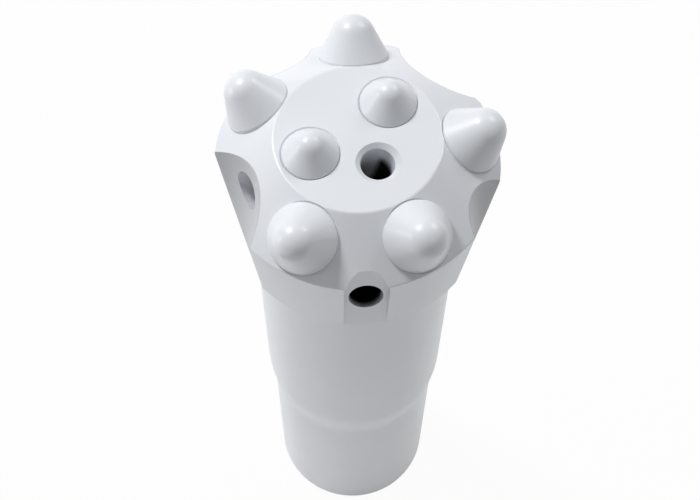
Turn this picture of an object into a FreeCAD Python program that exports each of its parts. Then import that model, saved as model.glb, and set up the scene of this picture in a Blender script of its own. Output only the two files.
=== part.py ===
# Threaded button drill bit: one steel body with seven carbide buttons pressed into its head.
# Millimetres. The bit axis is Z, the open end of the thread socket lies on z = 0,
# and the drilling face looks up along +Z.
import FreeCAD, Part
import math
import os

# ---- body: heights -------------------------------------------------------------------
BODY_HEIGHT = 148.3            # open end to flat drilling face
SHOULDER_TOP = 61.3            # where the skirt starts to step in
SHOULDER_FOOT = 49.8           # where the step ends
HEAD_HEIGHT = 25.05            # flat face down to the lower edge of the gauge band
UNDERSIDE_HEIGHT = 4.2         # sloping underside of the head, down to the skirt

# ---- body: radii ---------------------------------------------------------------------
FACE_RADIUS = 14.4             # flat drilling face
GAUGE_RADIUS = 24.9            # widest edge, between the gauge cone and the band
BAND_RELIEF = 1.5              # how much nearer the axis the band's lower edge lies
SKIRT_RADIUS = 19.2
TAIL_RADIUS = 18.15            # skirt below the step
GAUGE_ANGLE = 36.0             # degrees, slope of the gauge cone below the face plane

# ---- body: edge rounding -------------------------------------------------------------
FACE_EDGE_ROUND = 0.8
GAUGE_EDGE_ROUND = 0.3
BAND_FOOT_ROUND = 0.6
NECK_ROOT_ROUND = 2.5
TAIL_END_ROUND = 1.1

# ---- thread socket and flushing passages ---------------------------------------------
SOCKET_RADIUS = 14.3           # wall of the socket, at the root of the rope thread
SOCKET_DEPTH = 84.0
SOCKET_MOUTH_CHAMFER = 1.0
DRILLED_END_ANGLE = 59.0       # degrees from the axis, end of a drilled hole
DUCT_RADIUS = 5.5
DUCT_TOP_WALL = 16.0           # steel left between the end of the duct and the face

FACE_HOLE_RADIUS = 2.95
FACE_HOLE_OFFSET = 5.96        # centre of the face hole's mouth from the axis
FACE_HOLE_ANGLE = 307.2        # degrees round the axis
FACE_HOLE_TILT = 12.0          # degrees from the axis, leaning in towards the duct
FACE_HOLE_COUNTERSINK = 0.95   # wider mouth, all round
FLUTE_HOLE_RADIUS = 3.3
FLUTE_HOLE_ANGLE = 195.2       # degrees round the axis
FLUTE_HOLE_DEPTH = 10.0        # centre of its mouth below the face
FLUTE_HOLE_SLOPE = 30.0        # degrees below the horizontal, going inwards
GROOVE_HOLE_RADIUS = 3.0
GROOVE_HOLE_ANGLE = 275.0
GROOVE_HOLE_DEPTH = 14.9
GROOVE_HOLE_SLOPE = 45.0

# ---- flutes in the side of the head --------------------------------------------------
# A flute is a flat along the band and, deeper, a hollow that leans out towards the neck.
# Depths are taken from the gauge radius at the top and from the band's foot at the bottom.
WIDE_FLAT_TOP_DEPTH = 2.0
WIDE_FLAT_FOOT_DEPTH = 2.1
LEFT_HOLLOW_RADIUS = 14.4
LEFT_HOLLOW_TOP_DEPTH = 7.3
LEFT_HOLLOW_FOOT_DEPTH = 1.8
BACK_HOLLOW_RADIUS = 11.6
BACK_HOLLOW_TOP_DEPTH = 6.8
BACK_HOLLOW_FOOT_DEPTH = 1.5
SLIM_FLAT_TOP_DEPTH = 0.7
SLIM_FLAT_FOOT_DEPTH = 1.0
SLIM_HOLLOW_RADIUS = 8.4
SLIM_HOLLOW_TOP_DEPTH = 4.6
SLIM_HOLLOW_FOOT_DEPTH = -0.8  # past the band, so the hollow runs out above the foot

# ---- arched groove round the front flushing hole -------------------------------------
GROOVE_ANGLE = 274.9           # degrees round the axis
GROOVE_HALF_WIDTH = 3.85
GROOVE_CROWN_DROP = 5.6        # crown of the arch below the face
GROOVE_ARCH_RISE = 3.0         # crown above the ends of the arch
GROOVE_TOP_DEPTH = 2.6         # floor inside the gauge radius, at the crown
GROOVE_FOOT_DEPTH = 0.45       # floor inside the band's foot

# ---- buttons -------------------------------------------------------------------------
BUTTON_FIT = 0.02              # radial clearance between a button's shank and its socket
SOCKET_EDGE_CHAMFER = 0.35     # at the mouth of every button socket
SHANK_CHAMFER = 1.2            # at the seated end of every button
NOSE_LAND = 0.1                # short cylinder above the surface

GAUGE_BUTTON_RADIUS = 6.1
GAUGE_BUTTON_HEIGHT = 7.16     # above the cone
GAUGE_BUTTON_SHANK = 6.5       # below the cone
GAUGE_BUTTON_TIP = 3.95        # radius of the rounded tip
GAUGE_BUTTON_INSET = 5.35      # centre of the base inside the gauge radius
GAUGE_BUTTON_ANGLES = (93.0, 154.0, 243.0, 302.0, 6.5)

FACE_BUTTON_RADIUS = 4.9
FACE_BUTTON_HEIGHT = 4.7
FACE_BUTTON_SHANK = 5.5
FACE_BUTTON_TIP = 2.8
NEAR_BUTTON_OFFSET = 8.5       # from the axis
NEAR_BUTTON_ANGLE = 202.6      # degrees round the axis
FAR_BUTTON_OFFSET = 8.8
FAR_BUTTON_ANGLE = 54.3

# ---- derived values ------------------------------------------------------------------
FACE_Z = BODY_HEIGHT
GAUGE_SLOPE = math.tan(math.radians(GAUGE_ANGLE))
GAUGE_Z = FACE_Z - (GAUGE_RADIUS - FACE_RADIUS) * GAUGE_SLOPE
GAUGE_BUTTON_PITCH = GAUGE_RADIUS - GAUGE_BUTTON_INSET
BAND_FOOT_RADIUS = GAUGE_RADIUS - BAND_RELIEF
BAND_FOOT_Z = FACE_Z - HEAD_HEIGHT
NECK_Z = BAND_FOOT_Z - UNDERSIDE_HEIGHT
DUCT_TOP_Z = FACE_Z - DUCT_TOP_WALL
REACH = 10.0                   # how far a cutter reaches past what it cuts
SAME = 0.01                    # two sizes this near are taken as one ring

WIDE_FLAT = (GAUGE_RADIUS - WIDE_FLAT_TOP_DEPTH, BAND_FOOT_RADIUS - WIDE_FLAT_FOOT_DEPTH)
SLIM_FLAT = (GAUGE_RADIUS - SLIM_FLAT_TOP_DEPTH, BAND_FOOT_RADIUS - SLIM_FLAT_FOOT_DEPTH)
LEFT_FLOOR = (GAUGE_RADIUS - LEFT_HOLLOW_TOP_DEPTH, BAND_FOOT_RADIUS - LEFT_HOLLOW_FOOT_DEPTH)
BACK_FLOOR = (GAUGE_RADIUS - BACK_HOLLOW_TOP_DEPTH, BAND_FOOT_RADIUS - BACK_HOLLOW_FOOT_DEPTH)
SLIM_FLOOR = (GAUGE_RADIUS - SLIM_HOLLOW_TOP_DEPTH, BAND_FOOT_RADIUS - SLIM_HOLLOW_FOOT_DEPTH)
GROOVE_FLOOR = (GAUGE_RADIUS - GROOVE_TOP_DEPTH, BAND_FOOT_RADIUS - GROOVE_FOOT_DEPTH)

# degrees round the axis, flat, hollow's radius, hollow's floor
FLUTES = (
    (200.6, WIDE_FLAT, LEFT_HOLLOW_RADIUS, LEFT_FLOOR),
    (52.6, WIDE_FLAT, BACK_HOLLOW_RADIUS, BACK_FLOOR),
    (338.0, SLIM_FLAT, SLIM_HOLLOW_RADIUS, SLIM_FLOOR),
    (124.5, SLIM_FLAT, SLIM_HOLLOW_RADIUS, SLIM_FLOOR),
)


def polar(radius, angle, z=0.0):
    """Point at a distance from the axis and an angle in degrees round it."""
    turn = math.radians(angle)
    return FreeCAD.Vector(radius * math.cos(turn), radius * math.sin(turn), z)


def frame_at(origin, direction):
    """Placement whose local Z runs along a direction from an origin."""
    return FreeCAD.Placement(origin, FreeCAD.Rotation(FreeCAD.Vector(0, 0, 1), direction))


def revolve(points, arcs=()):
    """Solid of revolution about Z from an open outline and the arcs that close it."""
    vectors = [FreeCAD.Vector(x, 0, z) for x, z in points]
    edges = [Part.makeLine(a, b) for a, b in zip(vectors, vectors[1:])]
    for arc in arcs:
        first, middle, last = (FreeCAD.Vector(x, 0, z) for x, z in arc)
        edges.append(Part.Arc(first, middle, last).toShape())
    wire = Part.Wire(Part.sortEdges(edges)[0])
    return Part.Face(wire).revolve(FreeCAD.Vector(0, 0, 0), FreeCAD.Vector(0, 0, 1), 360)


def round_rings(solid, rings):
    """Round the circular edges at each (radius, z) by that ring's own amount."""
    for radius, z, amount in rings:
        chosen = [edge for edge in solid.Edges
                  if isinstance(edge.Curve, Part.Circle)
                  and abs(edge.Curve.Radius - radius) < SAME
                  and abs(edge.Curve.Center.z - z) < SAME]
        solid = solid.makeFillet(amount, chosen)
    return solid


def shoulder_arcs():
    """Two equal arcs, tangent to each other and to both skirt walls, for the soft step."""
    rise = (SHOULDER_TOP - SHOULDER_FOOT) / 2
    step = (SKIRT_RADIUS - TAIL_RADIUS) / 2
    turn = 2 * math.atan2(step, rise)
    bend = rise / math.sin(turn)
    middle = (TAIL_RADIUS + step, SHOULDER_FOOT + rise)
    sag = bend * (1 - math.cos(turn / 2))
    lift = bend * math.sin(turn / 2)
    foot = (TAIL_RADIUS, SHOULDER_FOOT)
    top = (SKIRT_RADIUS, SHOULDER_TOP)
    return ((foot, (TAIL_RADIUS + sag, SHOULDER_FOOT + lift), middle),
            (middle, (SKIRT_RADIUS - sag, SHOULDER_TOP - lift), top))


def turned_blank():
    """The body as it leaves the lathe, before flutes, sockets and bores."""
    outline = (
        (SKIRT_RADIUS, SHOULDER_TOP),
        (SKIRT_RADIUS, NECK_Z),
        (BAND_FOOT_RADIUS, BAND_FOOT_Z),
        (GAUGE_RADIUS, GAUGE_Z),
        (FACE_RADIUS, FACE_Z),
        (0, FACE_Z),
        (0, 0),
        (TAIL_RADIUS, 0),
        (TAIL_RADIUS, SHOULDER_FOOT),
    )
    return round_rings(revolve(outline, shoulder_arcs()), (
        (TAIL_RADIUS, 0, TAIL_END_ROUND),
        (SKIRT_RADIUS, NECK_Z, NECK_ROOT_ROUND),
        (BAND_FOOT_RADIUS, BAND_FOOT_Z, BAND_FOOT_ROUND),
        (GAUGE_RADIUS, GAUGE_Z, GAUGE_EDGE_ROUND),
        (FACE_RADIUS, FACE_Z, FACE_EDGE_ROUND),
    ))


def flute_cutter(angle, flat_floor, hollow, hollow_floor):
    """Flat along the band joined to a leaning hollow, turned to its place round the axis."""
    width = 2 * GAUGE_RADIUS
    flat_lean = math.atan2(flat_floor[0] - flat_floor[1], GAUGE_Z - BAND_FOOT_Z)
    flat = Part.makeBox(width, width, 2 * width, FreeCAD.Vector(0, -width / 2, -width))
    flat.Placement = FreeCAD.Placement(
        FreeCAD.Vector(flat_floor[0], 0, GAUGE_Z),
        FreeCAD.Rotation(FreeCAD.Vector(0, 1, 0), math.degrees(flat_lean)))
    lean = math.atan2(hollow_floor[1] - hollow_floor[0], HEAD_HEIGHT)
    down = FreeCAD.Vector(math.sin(lean), 0, -math.cos(lean))
    centre = FreeCAD.Vector(hollow_floor[0] + hollow * math.cos(lean), 0,
                            FACE_Z + hollow * math.sin(lean))
    length = FACE_Z - NECK_Z + REACH
    dish = Part.makeCylinder(hollow, 2 * length, centre - down * length, down)
    slab = Part.makeBox(2 * width, 2 * width, length, FreeCAD.Vector(0, -width, NECK_Z))
    cutter = flat.fuse(dish).common(slab)
    cutter.rotate(FreeCAD.Vector(0, 0, 0), FreeCAD.Vector(0, 0, 1), angle)
    return cutter


def groove_cutter():
    """Groove with an arched top and a nearly flat floor that runs out below the band."""
    crown = FACE_Z - GROOVE_CROWN_DROP
    spring = crown - GROOVE_ARCH_RISE
    corners = [FreeCAD.Vector(0, y, z) for y, z in (
        (-GROOVE_HALF_WIDTH, spring), (-GROOVE_HALF_WIDTH, NECK_Z),
        (GROOVE_HALF_WIDTH, NECK_Z), (GROOVE_HALF_WIDTH, spring))]
    edges = [Part.makeLine(a, b) for a, b in zip(corners, corners[1:])]
    edges.append(Part.Arc(corners[-1], FreeCAD.Vector(0, 0, crown), corners[0]).toShape())
    cutter = Part.Face(Part.Wire(edges)).extrude(FreeCAD.Vector(GAUGE_RADIUS, 0, 0))
    lean = math.atan2(GROOVE_FLOOR[1] - GROOVE_FLOOR[0], crown - BAND_FOOT_Z)
    cutter.rotate(FreeCAD.Vector(0, 0, crown), FreeCAD.Vector(0, 1, 0), -math.degrees(lean))
    cutter.translate(FreeCAD.Vector(GROOVE_FLOOR[0], 0, 0))
    cutter.rotate(FreeCAD.Vector(0, 0, 0), FreeCAD.Vector(0, 0, 1), GROOVE_ANGLE)
    return cutter


def drilled_point(radius):
    """Length of the cone that a drill leaves between a wall and the axis."""
    return radius / math.tan(math.radians(DRILLED_END_ANGLE))


def socket_and_duct():
    """Thread socket with its chamfered mouth and drilled end, and the duct above it."""
    mouth = SOCKET_RADIUS + SOCKET_MOUTH_CHAMFER
    return revolve((
        (0, -REACH),
        (mouth, -REACH),
        (mouth, 0),
        (SOCKET_RADIUS, SOCKET_MOUTH_CHAMFER),
        (SOCKET_RADIUS, SOCKET_DEPTH),
        (DUCT_RADIUS, SOCKET_DEPTH + drilled_point(SOCKET_RADIUS - DUCT_RADIUS)),
        (DUCT_RADIUS, DUCT_TOP_Z),
        (0, DUCT_TOP_Z + drilled_point(DUCT_RADIUS)),
        (0, -REACH),
    ))


def flush_hole(radius, angle, offset, depth, tilt):
    """Hole from a mouth on the head, going in and down to the axis, tilted away from it."""
    mouth = polar(offset, angle, FACE_Z - depth)
    lean = math.radians(tilt)
    inward = polar(-math.sin(lean), angle, -math.cos(lean))
    length = offset / math.sin(lean)
    return Part.makeCylinder(radius, REACH + length, mouth - inward * REACH, inward)


def countersink(radius, wider, mouth):
    """Cutter that opens a hole standing along Z by a 45 degree chamfer at its mouth."""
    above = REACH
    return Part.makeCone(radius, radius + wider + above, wider + above,
                         mouth - FreeCAD.Vector(0, 0, wider))


def side_hole(radius, angle, depth, slope, floor):
    """Flushing hole whose mouth lies on a flute's or groove's floor, at a depth below the face."""
    offset = floor[0] + (floor[1] - floor[0]) * depth / HEAD_HEIGHT
    return flush_hole(radius, angle, offset, depth, 90 - slope)


def flush_cutters():
    """Face hole with its countersink, and the two side holes."""
    mouth = polar(FACE_HOLE_OFFSET, FACE_HOLE_ANGLE, FACE_Z)
    return [flush_hole(FACE_HOLE_RADIUS, FACE_HOLE_ANGLE, FACE_HOLE_OFFSET, 0, FACE_HOLE_TILT),
            countersink(FACE_HOLE_RADIUS, FACE_HOLE_COUNTERSINK, mouth),
            side_hole(FLUTE_HOLE_RADIUS, FLUTE_HOLE_ANGLE, FLUTE_HOLE_DEPTH,
                      FLUTE_HOLE_SLOPE, LEFT_FLOOR),
            side_hole(GROOVE_HOLE_RADIUS, GROOVE_HOLE_ANGLE, GROOVE_HOLE_DEPTH,
                      GROOVE_HOLE_SLOPE, GROOVE_FLOOR)]


def button(radius, height, shank, tip):
    """Conical button about its own Z, with z = 0 at the surface that it stands out of."""
    centre = height - tip
    # the flank runs straight from the land to where it is tangent to the tip sphere
    rise = centre - NOSE_LAND
    spread = math.acos(tip / math.hypot(radius, rise)) - math.atan2(rise, radius)
    touch = (tip * math.cos(spread), centre + tip * math.sin(spread))
    crown = (math.radians(90) + spread) / 2
    middle = (tip * math.cos(crown), centre + tip * math.sin(crown))
    outline = ((0, height), (0, -shank), (radius - SHANK_CHAMFER, -shank),
               (radius, SHANK_CHAMFER - shank), (radius, NOSE_LAND), touch)
    return revolve(outline, ((touch, middle, outline[0]),))


def button_socket(radius, shank):
    """Cutter for a button's socket, with a chamfered mouth, about the button's own Z."""
    hole = radius + BUTTON_FIT
    pocket = revolve((
        (0, -shank), (hole - SHANK_CHAMFER, -shank), (hole, SHANK_CHAMFER - shank),
        (hole, REACH), (0, REACH), (0, -shank),
    ))
    return pocket.fuse(countersink(hole, SOCKET_EDGE_CHAMFER, FreeCAD.Vector(0, 0, 0)))


def gauge_button_frames():
    """Where the gauge buttons stand: on the cone, square to it."""
    lean = math.radians(GAUGE_ANGLE)
    drop = (GAUGE_BUTTON_PITCH - FACE_RADIUS) * GAUGE_SLOPE
    return [frame_at(polar(GAUGE_BUTTON_PITCH, angle, FACE_Z - drop),
                     polar(math.sin(lean), angle, math.cos(lean)))
            for angle in GAUGE_BUTTON_ANGLES]


def face_button_frames():
    """Where the face buttons stand: upright on the flat face."""
    places = ((NEAR_BUTTON_OFFSET, NEAR_BUTTON_ANGLE), (FAR_BUTTON_OFFSET, FAR_BUTTON_ANGLE))
    return [frame_at(polar(offset, angle, FACE_Z), FreeCAD.Vector(0, 0, 1))
            for offset, angle in places]


def placed(shape, placement):
    """Copy of a shape moved to a placement."""
    copy = shape.copy()
    copy.Placement = placement
    return copy


def bit_body():
    """The steel body with flutes, passages and button sockets."""
    gauge_socket = button_socket(GAUGE_BUTTON_RADIUS, GAUGE_BUTTON_SHANK)
    face_socket = button_socket(FACE_BUTTON_RADIUS, FACE_BUTTON_SHANK)
    cutters = [flute_cutter(*flute) for flute in FLUTES]
    cutters += [groove_cutter(), socket_and_duct()]
    cutters += flush_cutters()
    cutters += [placed(gauge_socket, frame) for frame in gauge_button_frames()]
    cutters += [placed(face_socket, frame) for frame in face_button_frames()]
    body = turned_blank()
    for cutter in cutters:
        body = body.cut(cutter)
    return body.Solids[0]


def buttons():
    """Every button by name, seated in its socket."""
    gauge = button(GAUGE_BUTTON_RADIUS, GAUGE_BUTTON_HEIGHT, GAUGE_BUTTON_SHANK, GAUGE_BUTTON_TIP)
    face = button(FACE_BUTTON_RADIUS, FACE_BUTTON_HEIGHT, FACE_BUTTON_SHANK, FACE_BUTTON_TIP)
    named = {}
    for number, frame in enumerate(gauge_button_frames(), 1):
        named["gauge_button_%d" % number] = placed(gauge, frame)
    for number, frame in enumerate(face_button_frames(), 1):
        named["face_button_%d" % number] = placed(face, frame)
    return named


os.makedirs("parts", exist_ok=True)
parts = {"bit_body": bit_body()}
parts.update(buttons())
for name, shape in parts.items():
    shape.exportStep("parts/%s.step" % name)
    print(name, "valid", shape.isValid(), "volume cm3", round(shape.Volume / 1000, 2))
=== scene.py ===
# %% [markdown]
# # A threaded button drill bit
# The bit is a long steel socket with a wide head. Seven carbide buttons are pressed into the head,
# and the whole bit is painted pale grey. Its solids come ready made, in metres, with the open end
# of the socket at height zero. This notebook gives them their finish, adds the thread inside the
# socket and the fine machining marks, and sets up a small studio to look at them.

# %% Load the solids
import math

import bpy
from mathutils import Matrix, Vector


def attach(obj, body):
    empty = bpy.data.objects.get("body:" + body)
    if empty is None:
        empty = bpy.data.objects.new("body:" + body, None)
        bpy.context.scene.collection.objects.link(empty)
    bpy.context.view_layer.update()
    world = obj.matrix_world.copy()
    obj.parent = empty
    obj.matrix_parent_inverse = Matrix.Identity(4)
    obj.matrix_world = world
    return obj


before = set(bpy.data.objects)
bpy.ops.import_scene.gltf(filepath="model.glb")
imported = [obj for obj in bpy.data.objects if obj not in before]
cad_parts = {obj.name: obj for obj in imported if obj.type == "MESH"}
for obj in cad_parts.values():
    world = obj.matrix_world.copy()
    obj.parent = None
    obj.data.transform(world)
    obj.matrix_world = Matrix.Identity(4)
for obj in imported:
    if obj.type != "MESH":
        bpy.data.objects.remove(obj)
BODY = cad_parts["bit_body"]
BUTTONS = [node for name, node in sorted(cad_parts.items()) if "button" in name]
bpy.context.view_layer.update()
MM = 0.001

# %% [markdown]
# ## Camera
# The bit is seen from above its head, so that it narrows away towards the far end. A long lens from
# close above gives that strong narrowing. The camera is aimed with three plain turns: round the
# vertical, down, and a small roll about the line of sight.

# %% Camera
CAMERA_PLACE = Vector((0.0, -0.12093, 0.34453))
CAMERA_TURN = -0.051
CAMERA_TILT = 1.130
CAMERA_ROLL = -0.027
LENS_LENGTH = 69.95            # millimetres, on a sensor of the width below
SENSOR_WIDTH = 36.0
LENS_SHIFT = (0.0357, 0.0571)  # sideways and upwards, as shares of the picture's width


def aim(turn, tilt, roll):
    """Rotation of a camera that looks level along +Y, then is turned, tipped down and rolled."""
    forward = Vector((math.sin(turn) * math.cos(tilt), math.cos(turn) * math.cos(tilt),
                      -math.sin(tilt)))
    right = Vector((math.cos(turn), -math.sin(turn), 0.0))
    up = right.cross(forward)
    x_axis = math.cos(roll) * right + math.sin(roll) * up
    y_axis = -math.sin(roll) * right + math.cos(roll) * up
    return Matrix((x_axis, y_axis, -forward)).transposed().to_4x4()


lens_data = bpy.data.cameras.new("view")
lens_data.sensor_width = SENSOR_WIDTH
lens_data.lens = LENS_LENGTH
lens_data.shift_x, lens_data.shift_y = LENS_SHIFT
lens_data.clip_start = 0.01
view = bpy.data.objects.new("view", lens_data)
view.matrix_world = Matrix.Translation(CAMERA_PLACE) @ aim(CAMERA_TURN, CAMERA_TILT, CAMERA_ROLL)
bpy.context.scene.collection.objects.link(view)
bpy.context.scene.camera = view
print("camera at", tuple(round(v, 4) for v in view.location))

# %% [markdown]
# ## Studio
# A pale floor catches a soft shadow. Three square lamps light the bit. The key stands high on the
# left, behind the bit, and lights the face and the left half of the cone. A low lamp on the left
# draws the left edge of the skirt, and a weaker one behind on the right draws the right edge. The
# white room fills in at a low level, so the near side of the skirt stays a plain mid grey.

# %% A class for shader maths
class Value:
    """A shader socket that can be used in ordinary arithmetic; each step adds a Math node."""

    def __init__(self, tree, socket):
        self.tree = tree
        self.socket = socket

    def math(self, operation, *others):
        node = self.tree.nodes.new("ShaderNodeMath")
        node.operation = operation
        for slot, item in zip(node.inputs, (self,) + others):
            plug(self.tree, slot, item)
        return Value(self.tree, node.outputs[0])

    def __add__(self, other):
        return self.math("ADD", other)

    def __radd__(self, other):
        return self.math("ADD", other)

    def __sub__(self, other):
        return self.math("SUBTRACT", other)

    def __rsub__(self, other):
        return self.math("MULTIPLY", -1.0).math("ADD", other)

    def __mul__(self, other):
        return self.math("MULTIPLY", other)

    def __rmul__(self, other):
        return self.math("MULTIPLY", other)

    def below(self, limit, soft):
        """1 where the value is under a limit and 0 where it is over, with a soft step."""
        ramp = (limit - self) * (1.0 / soft) + 0.5
        return ramp.math("MINIMUM", 1.0).math("MAXIMUM", 0.0)

    def larger(self, other):
        return self.math("MAXIMUM", other)


def plug(tree, slot, item):
    """Link a socket to an input, or write a plain value in it."""
    if isinstance(item, Value):
        tree.links.new(item.socket, slot)
    else:
        slot.default_value = item


class Finish:
    """A new material or world whose nodes are added one by one."""

    def __init__(self, owner):
        owner.use_nodes = True
        self.owner = owner
        self.tree = owner.node_tree
        self.tree.nodes.clear()

    def node(self, kind, settings=None, output=0, **inputs):
        """Add a node of a kind, set it up, fill its inputs and return one output."""
        node = self.tree.nodes.new(kind)
        for name, value in (settings or {}).items():
            setattr(node, name, value)
        for name, item in inputs.items():
            plug(self.tree, node.inputs[name.replace("_", " ")], item)
        return Value(self.tree, node.outputs[output]) if node.outputs else None

    def mix(self, factor, low, high):
        """Colour between two colours."""
        node = self.tree.nodes.new("ShaderNodeMix")
        node.data_type = "RGBA"
        for index, item in ((0, factor), (6, low), (7, high)):
            plug(self.tree, node.inputs[index], item)
        return Value(self.tree, node.outputs[2])


# %% Floor, room and lamps
FLOOR_MATT = (0.82, 0.82, 0.82, 1.0)
FLOOR_GLOW = 0.95              # share of plain white in the floor as a camera sees it
FLOOR_IN_GLOSS = 0.75          # how much of that share shows in the paint's gloss


def studio_floor(level):
    """A wide pale floor that a camera sees nearly white, with the bit's shadow left in."""
    bpy.ops.mesh.primitive_plane_add(size=8.0, location=(0.0, 0.0, 0.0))
    floor = bpy.context.object
    floor.name = "floor"
    finish = Finish(bpy.data.materials.new("pale_floor"))
    matt = finish.node("ShaderNodeBsdfDiffuse", Color=FLOOR_MATT)
    white = finish.node("ShaderNodeEmission", Color=(1.0, 1.0, 1.0, 1.0), Strength=1.0)
    rays = finish.node("ShaderNodeLightPath")
    light_path = rays.socket.node.outputs
    camera_ray = Value(finish.tree, light_path["Is Camera Ray"])
    glossy_ray = Value(finish.tree, light_path["Is Glossy Ray"])
    seen = camera_ray.larger(glossy_ray * FLOOR_IN_GLOSS) * level
    both = finish.tree.nodes.new("ShaderNodeMixShader")
    plug(finish.tree, both.inputs[0], seen)
    plug(finish.tree, both.inputs[1], matt)
    plug(finish.tree, both.inputs[2], white)
    finish.node("ShaderNodeOutputMaterial", Surface=Value(finish.tree, both.outputs[0]))
    floor.data.materials.append(finish.owner)
    return floor


def white_room(light):
    """World that lights at one strength and is seen as plain white."""
    finish = Finish(bpy.data.worlds.new("white_room"))
    rays = finish.node("ShaderNodeLightPath")
    camera_ray = Value(finish.tree, rays.socket.node.outputs["Is Camera Ray"])
    strength = camera_ray * (1.0 - light) + light
    room = finish.node("ShaderNodeBackground", Color=(1.0, 1.0, 1.0, 1.0), Strength=strength)
    finish.node("ShaderNodeOutputWorld", Surface=room)
    bpy.context.scene.world = finish.owner


def lamp(name, place, target, size, power):
    """Square area lamp at a place, facing a target."""
    data = bpy.data.lights.new(name, "AREA")
    data.size = size
    data.energy = power
    item = bpy.data.objects.new(name, data)
    item.location = place
    item.rotation_euler = (Vector(target) - Vector(place)).to_track_quat("-Z", "Y").to_euler()
    bpy.context.scene.collection.objects.link(item)
    return item


HEAD_CENTRE = (0.0, 0.0, 0.14)
ROOM_LIGHT = 0.28
studio_floor(FLOOR_GLOW)
white_room(ROOM_LIGHT)
lamp("key", (-0.55, 0.44, 1.046), HEAD_CENTRE, 0.25, 8.7)
lamp("left_rim", (-1.14, 0.0, 0.30), HEAD_CENTRE, 0.45, 2.2)
lamp("back_right", (0.60, 0.60, 0.85), HEAD_CENTRE, 0.45, 2.8)
bpy.context.scene.view_settings.view_transform = "Standard"
print("room light", ROOM_LIGHT)

# %% [markdown]
# ## Paint
# The bit is sprayed after its buttons are in, so steel and carbide carry the same pale blue-grey
# paint. Sprayed paint is nearly smooth: its gloss drifts a little, and it has a faint orange peel.
# Under it the lathe's rings still show on the round walls. The flutes' hollows get painted shade:
# the paint is darker and a little duller there. It drifts a few millimetres into the flushing holes
# and never reaches the socket, where the bare steel is near black, partly as painted shade.

# %% Paint on the steel and on the buttons
PAINT = (0.800, 0.823, 0.862, 1.0)
PAINT_THIN = (0.770, 0.795, 0.838, 1.0)
# near-black bare steel: the steel's own dark colour, darkened further as painted shade inside the
# passages, the socket and the thread
BARE_STEEL_AND_SHADE = (0.028, 0.027, 0.026, 1.0)
HOLLOW_SHADE = 0.66              # share of the paint's colour that is left in the hollows, as painted shade
HOLLOW_DULLER = 0.12             # added roughness in the flutes' hollows
BARE_DULLER = 0.25             # added roughness where there is none
BARE_METAL = 0.9


def sprayed(name, peel, rings, hollow_shade=None, bare_and_shade=None):
    """Satin paint; the two optional functions give masks: one of painted shade in the flutes'
    hollows, one of bare steel darkened with painted shade.
    """
    finish = Finish(bpy.data.materials.new(name))
    place = finish.node("ShaderNodeTexCoord", output=3)
    drift = finish.node("ShaderNodeTexNoise", output=0, Vector=place, Scale=38.0, Detail=3.0,
                        Roughness=0.55)
    grain = finish.node("ShaderNodeTexNoise", output=0, Vector=place, Scale=950.0, Detail=2.0)
    colour = finish.mix(drift, PAINT, PAINT_THIN)
    rough = 0.30 + 0.12 * drift + 0.03 * grain
    height = grain * peel
    if rings:
        axes = finish.node("ShaderNodeSeparateXYZ", output=2, Vector=place)
        turned = (axes * 9000.0).math("SINE")
        height = height + turned * (rings * drift)
    metal = 0.0
    # painted shade: the paint is darkened, and made a little duller, in the flutes' hollows
    if hollow_shade is not None:
        mask = hollow_shade(finish, place)
        shaded = tuple(HOLLOW_SHADE * value for value in PAINT[:3]) + (1.0,)
        colour = finish.mix(mask, colour, shaded)
        rough = rough + mask * HOLLOW_DULLER
    # bare steel in the passages and the socket, near black partly as painted shade
    if bare_and_shade is not None:
        mask = bare_and_shade(finish, place)
        colour = finish.mix(mask, colour, BARE_STEEL_AND_SHADE)
        rough = rough + mask * BARE_DULLER
        metal = mask * BARE_METAL
    bump = finish.node("ShaderNodeBump", Height=height, Distance=1.0, Strength=1.0)
    skin = finish.node("ShaderNodeBsdfPrincipled", Base_Color=colour, Roughness=rough,
                       Metallic=metal, Normal=bump, Coat_Weight=0.25, Coat_Roughness=0.16)
    finish.node("ShaderNodeOutputMaterial", Surface=skin)
    return finish.owner


# %% Where the spray does not reach: bare steel, near black partly as painted shade
PASSAGES = (
    # radius, mouth and direction into the bit of each slanted flushing hole, in millimetres
    (2.95, (3.60, -4.75, 147.3), (-0.1257, 0.1656, -0.9781)),
    (3.3, (-18.53, -5.03, 138.3), (0.8357, 0.2271, -0.5)),
    (3.0, (1.98, -22.60, 133.4), (-0.0616, 0.7044, -0.7071)),
)
SPRAY_REACH = 4.5 * MM         # how far the paint drifts into a flushing hole
SPRAY_FADE = 2.5 * MM
HOLE_SKIN = 0.12               # how far outside a hole's wall its mask ends
HOLE_EDGE = 0.06 * MM
SOCKET_REACH = 14.36 * MM
SOCKET_TOP = 124.0 * MM


def from_axis(finish, place, start, direction):
    """Step from an axis' start to a place, and the place's distance from that axis."""
    away = finish.node("ShaderNodeVectorMath", {"operation": "SUBTRACT"})
    plug(finish.tree, away.socket.node.inputs[0], place)
    plug(finish.tree, away.socket.node.inputs[1], tuple(value * MM for value in start))
    cross = finish.node("ShaderNodeVectorMath", {"operation": "CROSS_PRODUCT"})
    plug(finish.tree, cross.socket.node.inputs[0], away)
    plug(finish.tree, cross.socket.node.inputs[1], direction)
    span = finish.node("ShaderNodeVectorMath", {"operation": "LENGTH"}, output=1)
    plug(finish.tree, span.socket.node.inputs[0], cross)
    return away, span


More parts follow.
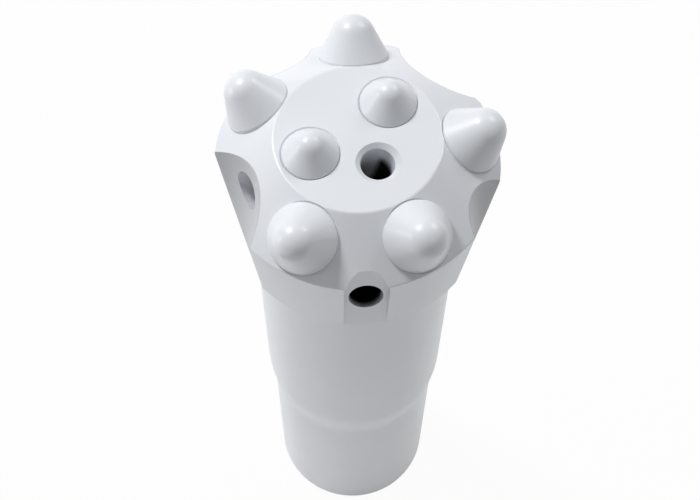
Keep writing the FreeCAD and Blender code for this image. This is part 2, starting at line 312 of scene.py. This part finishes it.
def unpainted_and_shade(finish, place):
    """Mask of the socket, the duct and the flushing holes, from the places of their axes; the bare
    steel there is darkened as painted shade.
    """
    axes = finish.node("ShaderNodeSeparateXYZ", Vector=place).socket.node.outputs
    x, y, z = (Value(finish.tree, axis) for axis in axes)
    radius = (x * x + y * y).math("SQRT")
    mask = radius.below(SOCKET_REACH, 0.1 * MM) * z.below(SOCKET_TOP, 1.0 * MM)
    for hole, mouth, inward in PASSAGES:
        away, span = from_axis(finish, place, mouth, inward)
        along = finish.node("ShaderNodeVectorMath", {"operation": "DOT_PRODUCT"}, output=1)
        plug(finish.tree, along.socket.node.inputs[0], away)
        plug(finish.tree, along.socket.node.inputs[1], inward)
        # the mask has no far end, so it also darkens the skirt where a hole's axis leaves it
        deep = 1.0 - along.below(SPRAY_REACH, SPRAY_FADE)
        mask = mask.larger(span.below((hole + HOLE_SKIN) * MM, HOLE_EDGE) * deep)
    return mask


# %% Painted shade in the flutes' hollows
HEAD_TOP = 148.3
HEAD_HEIGHT = 25.05
HOLLOWS = (
    # angle round the axis in degrees, radius, and in millimetres from the bit's axis the
    # hollow's floor at the face and at the band's foot
    (200.6, 14.4, 17.6, 21.6),
    (52.6, 11.6, 18.1, 21.9),
    (338.0, 8.4, 20.3, 24.2),
    (124.5, 8.4, 20.3, 24.2),
)
HOLLOW_SKIN = 0.06             # how far outside a hollow's wall its mask ends


def hollows(finish, place):
    """Mask of the flutes' hollows, where the paint is darkened as painted shade, each a leaning
    cylinder, from the places of their axes.
    """
    masks = []
    for angle, radius, top, foot in HOLLOWS:
        turn = math.radians(angle)
        lean = math.atan2(foot - top, HEAD_HEIGHT)
        out = (math.cos(turn), math.sin(turn))
        reach = top + radius * math.cos(lean)
        start = (reach * out[0], reach * out[1], HEAD_TOP + radius * math.sin(lean))
        down = (math.sin(lean) * out[0], math.sin(lean) * out[1], -math.cos(lean))
        span = from_axis(finish, place, start, down)[1]
        masks.append(span.below((radius + HOLLOW_SKIN) * MM, HOLLOW_SKIN * MM))
    joined = masks[0]
    for mask in masks[1:]:
        joined = joined.larger(mask)
    return joined


def dress(node, material):
    """Give one finish to a ready-made solid."""
    node.data.materials.clear()
    node.data.materials.append(material)


# painted shade darkens the flutes' hollows; the passages get near-black bare steel, partly painted
# shade
dress(BODY, sprayed("painted_steel", peel=2e-6, rings=4e-7, hollow_shade=hollows, bare_and_shade=unpainted_and_shade))
carbide_paint = sprayed("painted_carbide", peel=1.2e-6, rings=0.0)
for button in BUTTONS:
    dress(button, carbide_paint)
print("painted:", BODY.name, "and", len(BUTTONS), "buttons")

# %% [markdown]
# ## Rope thread
# The rod screws into the skirt on a rope thread: one broad, rounded ridge that winds up the socket
# in a left-hand spiral. A flattened ring is the ridge's cross-section. A Screw modifier sweeps it
# round the axis, which is how a lathe makes it too.

# %% Thread ridge
THREAD_PITCH = 12.7 * MM
THREAD_TURNS = 6
THREAD_WALL = 14.3 * MM
RIDGE_DEPTH = 1.5 * MM
RIDGE_SINK = 0.6 * MM
RIDGE_HALF_WIDTH = 3.9 * MM
THREAD_START = 5.5 * MM


def thread_ridge():
    """Left-hand helical ridge with rounded flanks, closed at both ends."""
    bpy.ops.object.select_all(action="DESELECT")
    half_depth = (RIDGE_DEPTH + RIDGE_SINK) / 2
    centre = THREAD_WALL - RIDGE_DEPTH + half_depth
    top = THREAD_START + THREAD_PITCH * THREAD_TURNS
    bpy.ops.mesh.primitive_circle_add(vertices=20, radius=1.0, fill_type="NGON",
                                      location=(centre, 0.0, top),
                                      rotation=(math.pi / 2, 0.0, 0.0))
    ridge = bpy.context.object
    ridge.name = "rope_thread"
    ridge.scale = (half_depth, RIDGE_HALF_WIDTH, 1.0)
    bpy.ops.object.transform_apply(location=True, rotation=True, scale=True)
    sweep = ridge.modifiers.new("sweep", "SCREW")
    sweep.axis = "Z"
    sweep.angle = 2 * math.pi
    sweep.screw_offset = -THREAD_PITCH
    sweep.iterations = THREAD_TURNS
    sweep.steps = 72
    sweep.render_steps = 72
    sweep.use_merge_vertices = True
    bpy.ops.object.modifier_apply(modifier=sweep.name)
    return ridge


ridge = thread_ridge()
print("thread ridge:", len(ridge.data.polygons), "faces")

# %% [markdown]
# The socket is bored and threaded after heat treatment and then greased, so it stays bare: steel
# with fine marks, its near-black colour partly painted shade. The ridge gets that finish too.

# %% Bare steel on the ridge
def bare_steel(name):
    """Machined steel, near black partly as painted shade, with fine marks and a drifting gloss."""
    finish = Finish(bpy.data.materials.new(name))
    place = finish.node("ShaderNodeTexCoord", output=3)
    drift = finish.node("ShaderNodeTexNoise", output=0, Vector=place, Scale=60.0, Detail=4.0)
    marks = finish.node("ShaderNodeTexNoise", output=0, Vector=place, Scale=1500.0, Detail=1.0)
    colour = finish.mix(drift, BARE_STEEL_AND_SHADE, (0.075, 0.072, 0.069, 1.0))
    bump = finish.node("ShaderNodeBump", Height=marks * 4e-6, Distance=1.0, Strength=1.0)
    skin = finish.node("ShaderNodeBsdfPrincipled", Base_Color=colour, Metallic=0.9,
                       Roughness=0.38 + 0.2 * drift, Normal=bump)
    finish.node("ShaderNodeOutputMaterial", Surface=skin)
    return finish.owner


dress(ridge, bare_steel("bare_steel"))
ridge.data.shade_smooth()
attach(ridge, "root")
print("ridge finished")
